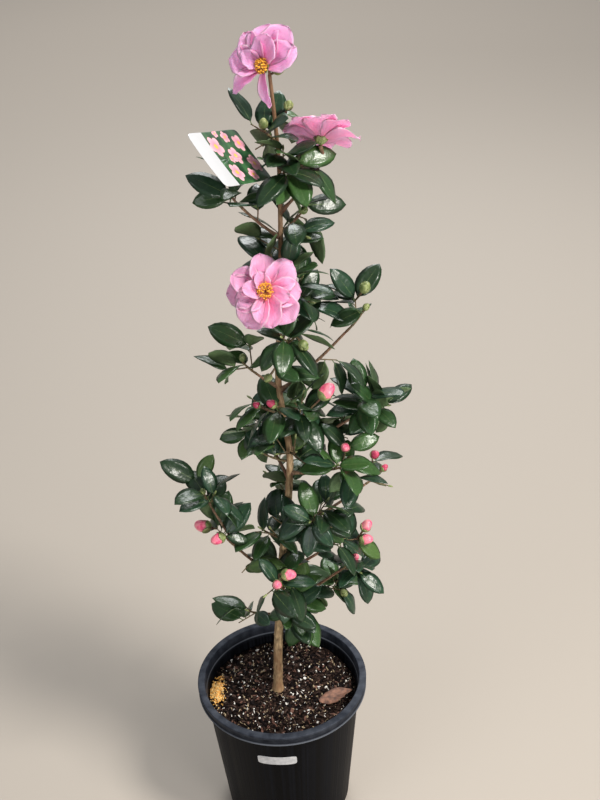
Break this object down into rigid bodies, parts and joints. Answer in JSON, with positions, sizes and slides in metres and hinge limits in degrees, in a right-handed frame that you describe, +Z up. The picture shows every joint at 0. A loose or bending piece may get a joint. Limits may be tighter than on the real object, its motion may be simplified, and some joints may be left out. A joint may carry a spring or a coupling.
{
  "type": "potted camellia shrub",
  "caption": "Upright young camellia shrub in pink bloom, with glossy dark leaves on a slim trunk, growing in a round black nursery pot, with a picture tag.",
  "frame": {"origin": "middle of the pot's flat underside, on the ground that it stands on", "axes": "+Z up the plant, +X to the plant's right and +Y to its back as the picture shows it"},
  "size_m": [0.3456, 0.2637, 1.211],
  "materials": {
    "pot": "satin black polypropylene with fine upright streaks",
    "potting_mix": "damp dark composted bark with pale specks",
    "bark": "smooth tan bark",
    "leaves": "glossy dark green",
    "petals": "soft satin pink",
    "tag": "printed stiff card, satin",
    "sticker": "plain white film label"
  },
  "bodies": {
    "root": {"bough_back_high": "bark", "bough_back_low": "bark", "bough_back_mid": "bark", "bough_front_low": "bark", "bough_left": "bark", "bough_left_mid": "bark", "bough_left_up": "bark", "bough_low_left": "bark", "bough_right_back": "bark", "bough_right_fork": "bark", "bough_right_inner": "bark", "bough_right_long": "bark", "bough_right_low": "bark", "bough_right_mid": "bark", "bough_right_mid_low": "bark", "bough_right_upper": "bark", "bough_upper_left": "bark", "bough_upper_right": "bark", "foliage_above_left": "leaves", "foliage_above_right": "leaves", "foliage_back_high": "leaves", "foliage_back_low": "leaves", "foliage_back_mid": "leaves", "foliage_below_side_bloom": "leaves", "foliage_foot": "leaves", "foliage_front_centre": "leaves", "foliage_front_low": "leaves", "foliage_left": "leaves", "foliage_left_bud": "leaves", "foliage_left_centre": "leaves", "foliage_left_inner": "leaves", "foliage_left_mid": "leaves", "foliage_left_up": "leaves", "foliage_low_left": "leaves", "foliage_near_bloom": "leaves", "foliage_right_back": "leaves", "foliage_right_bud": "leaves", "foliage_right_fork": "leaves", "foliage_right_inner": "leaves", "foliage_right_long": "leaves", "foliage_right_low": "leaves", "foliage_right_mid": "leaves", "foliage_right_mid_low": "leaves", "foliage_right_upper": "leaves", "foliage_top_left": "leaves", "foliage_top_right": "leaves", "foliage_under_bloom": "leaves", "foliage_upper_back": "leaves", "foliage_upper_inner": "leaves", "foliage_upper_left": "leaves", "front_bloom": "petals", "pot": "pot", "pot_sticker": "sticker", "potting_mix": "potting_mix", "side_bloom": "petals", "tag": "tag", "top_bloom": "petals", "trunk": "bark"}
  },
  "joints": []
}
